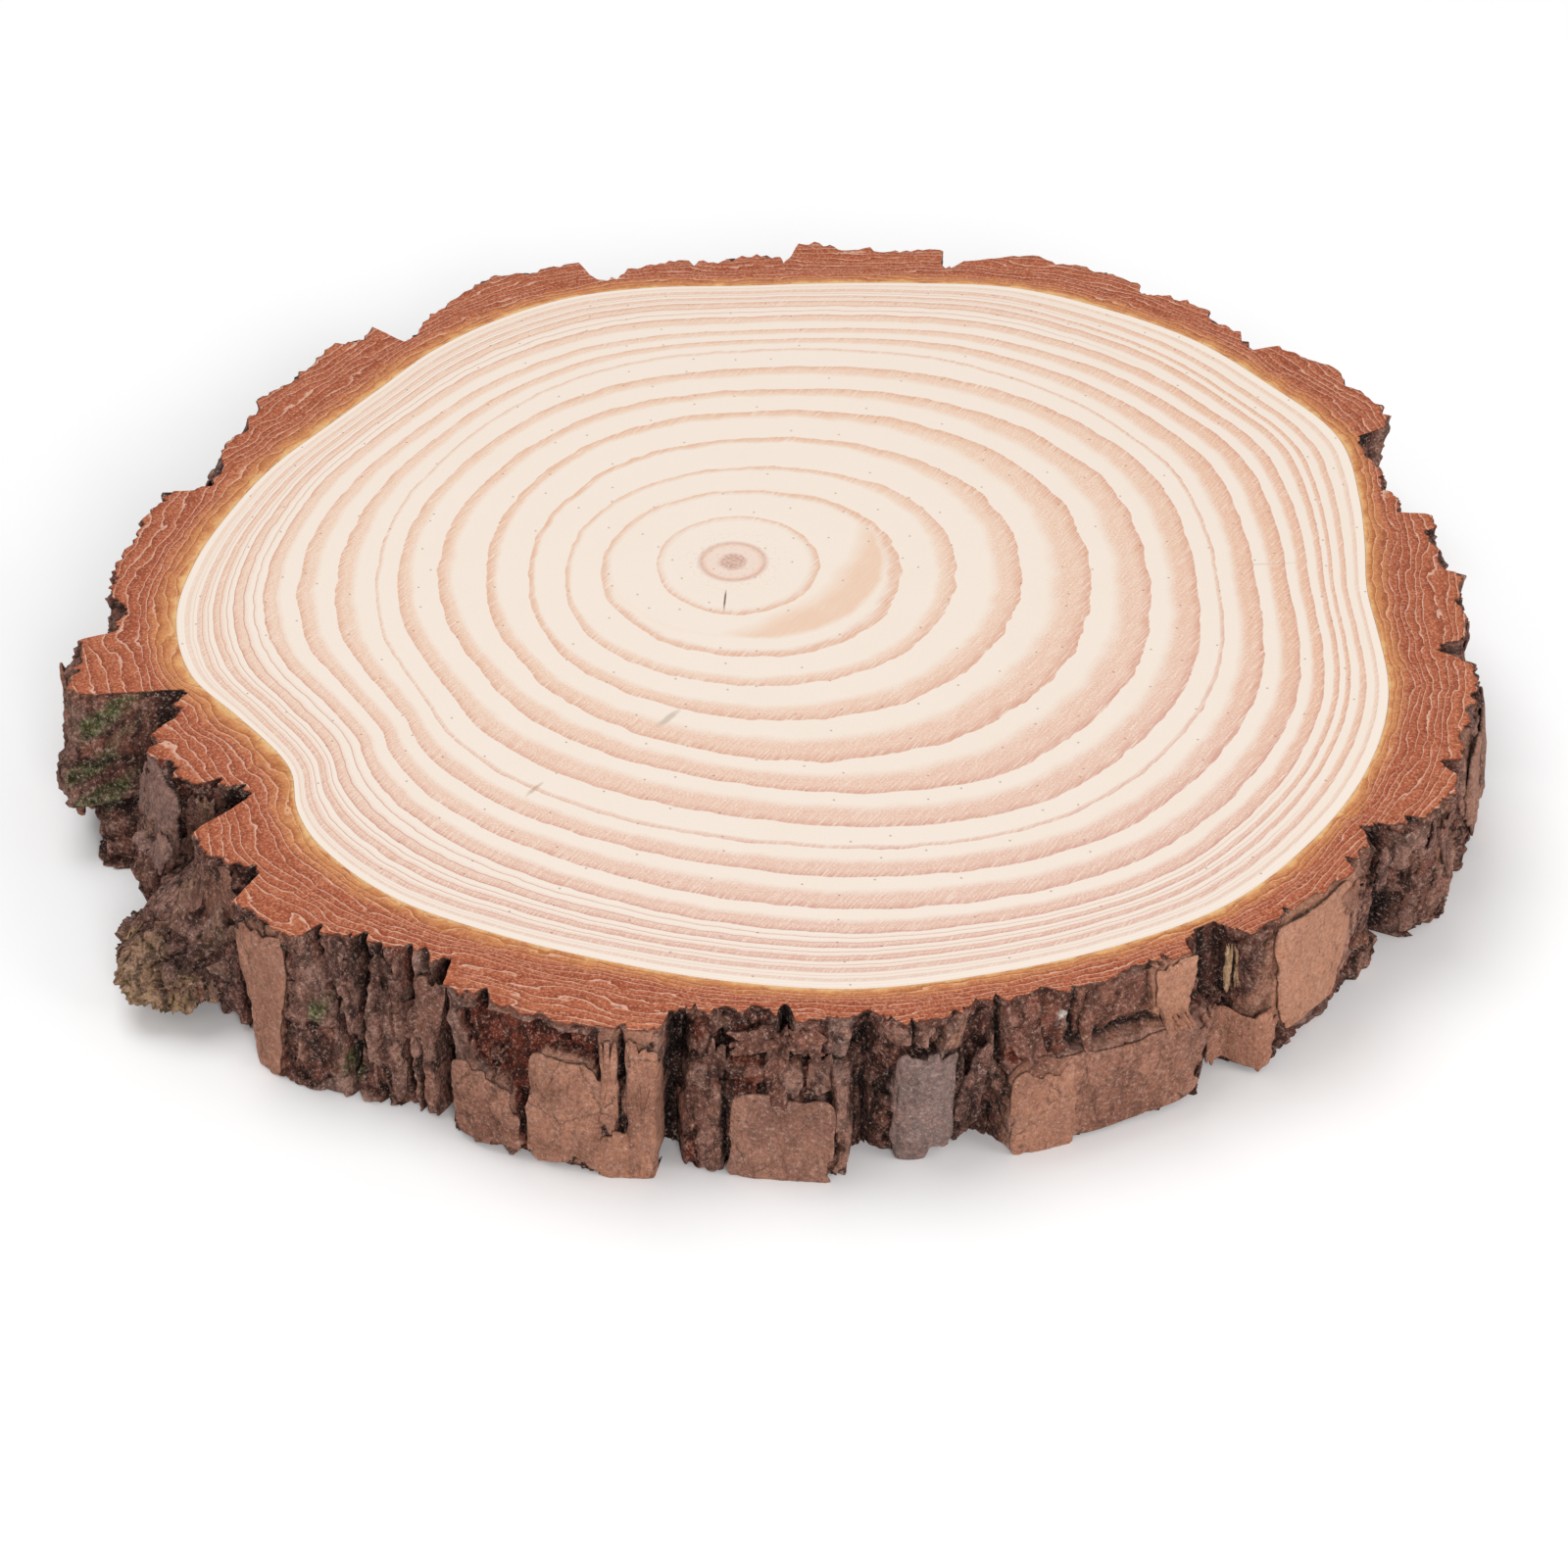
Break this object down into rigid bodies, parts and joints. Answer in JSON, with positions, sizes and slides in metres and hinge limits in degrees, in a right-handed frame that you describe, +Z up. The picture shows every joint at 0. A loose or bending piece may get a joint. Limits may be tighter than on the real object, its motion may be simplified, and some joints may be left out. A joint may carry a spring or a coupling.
{
  "type": "wood slice",
  "caption": "Round slice of a young pine trunk with its bark on, sawn flat and sanded on both faces, for use as a coaster, stand or craft blank.",
  "frame": {"origin": "on the underside, in the middle of the slice's outline", "axes": "+Z up through the thickness, out of the face that shows; +X to the right of the picture's view, +Y away from it"},
  "size_m": [0.1715, 0.1661, 0.02],
  "materials": {
    "wood": "pale pine end grain, sanded and left bare, with pinkish latewood rings",
    "bark": "rough grey-brown pine bark in broken plates, red-brown where it is sawn"
  },
  "bodies": {
    "root": {"wood": "wood", "bark": "bark"}
  },
  "joints": []
}
